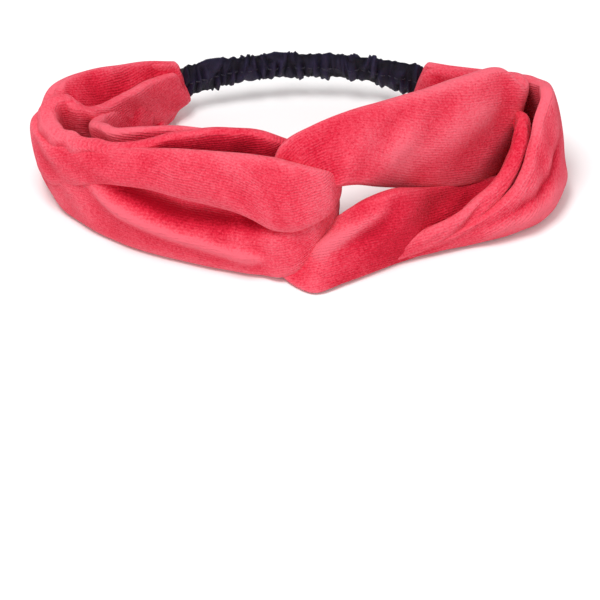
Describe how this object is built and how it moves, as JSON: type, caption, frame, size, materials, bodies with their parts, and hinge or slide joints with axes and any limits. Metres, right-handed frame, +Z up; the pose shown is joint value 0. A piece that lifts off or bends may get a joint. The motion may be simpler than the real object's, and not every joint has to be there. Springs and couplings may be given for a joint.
{
  "type": "spa headband",
  "caption": "Coral velour spa headband: two interlocked soft loops crossing at the front, joined at the back by a gathered navy elastic.",
  "frame": {"origin": "middle of the head opening, on the plane that the headband stands on", "axes": "+Z up through the head opening, +X along the longest side, -Y at the crossing of the loops and +Y at the elastic"},
  "size_m": [0.2013, 0.1195, 0.0507],
  "materials": {
    "velour": "soft velour nap",
    "navy_cloth": "smooth woven cotton",
    "elastic": "braided, matt",
    "coral_thread": "spun polyester",
    "navy_thread": "spun polyester"
  },
  "bodies": {
    "right_half": {"right_velour_loop": "velour", "right_loop_seam": "coral_thread", "right_join_stitches": "coral_thread"},
    "left_half": {"left_velour_loop": "velour", "left_loop_seam": "coral_thread", "left_join_stitches": "coral_thread"},
    "elastic": {"elastic_strip": "elastic", "elastic_casing": "navy_cloth", "casing_seam": "navy_thread"}
  },
  "joints": [
    {"name": "twist_pivot", "type": "hinge", "parent": "right_half", "child": "left_half", "pos_m": [0, -0.036, 0], "axis": [0, 0, 1], "range_deg": [-6, 20], "stiffness_Nm_per_rad": 0.75},
    {"name": "elastic_follow", "type": "hinge", "parent": "right_half", "child": "elastic", "pos_m": [0, -0.036, 0], "axis": [0, 0, 1], "range_deg": [-3, 10], "deforming": ["elastic_strip", "elastic_casing", "casing_seam"]}
  ],
  "couplings": [
    {"joint": "elastic_follow", "follows": "twist_pivot", "ratio": 0.5}
  ]
}
